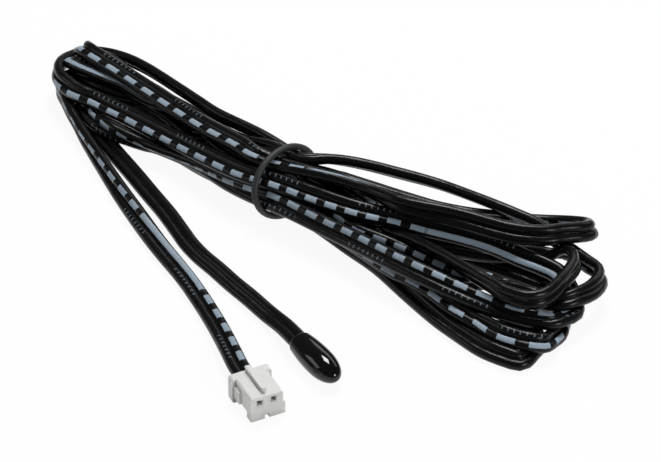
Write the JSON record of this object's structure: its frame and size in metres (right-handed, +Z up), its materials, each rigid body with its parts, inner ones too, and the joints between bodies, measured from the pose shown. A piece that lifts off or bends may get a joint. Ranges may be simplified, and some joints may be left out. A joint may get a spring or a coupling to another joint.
{
  "type": "bead_thermistor",
  "caption": "Bead thermistor: black resin sensing bead on a flat two-core cord folded into a tied hank, ending in a white two-way crimp connector",
  "frame": {"origin": "on the ground under the middle of the sensing bead", "axes": "+X along the bead's axis from the cord to its tip, +Z up from the ground, +Y to the left of the bead, towards the hank"},
  "size_m": [0.1211, 0.0731, 0.0129],
  "materials": {
    "resin": "glossy epoxy",
    "ceramic": "sintered oxide",
    "solder": "tinned",
    "copper": "bare strands",
    "cord": "satin PVC",
    "tie": "matte",
    "contact": "tinned sheet",
    "nylon": "milky natural nylon"
  },
  "bodies": {
    "root": {"sensor_bead": "resin", "thermistor_chip": "ceramic", "chip_lead_a": "solder", "chip_lead_b": "solder", "solder_joint_a": "solder", "solder_joint_b": "solder", "conductor_a": "copper", "conductor_b": "copper", "cord_to_bead": "cord", "cord_hank": "cord", "cord_to_connector": "cord", "tie_ring": "tie", "core_end_a": "cord", "core_end_b": "cord", "strand_end_a": "copper", "strand_end_b": "copper", "crimp_terminal_a": "contact", "crimp_terminal_b": "contact", "connector_housing": "nylon"}
  },
  "joints": []
}
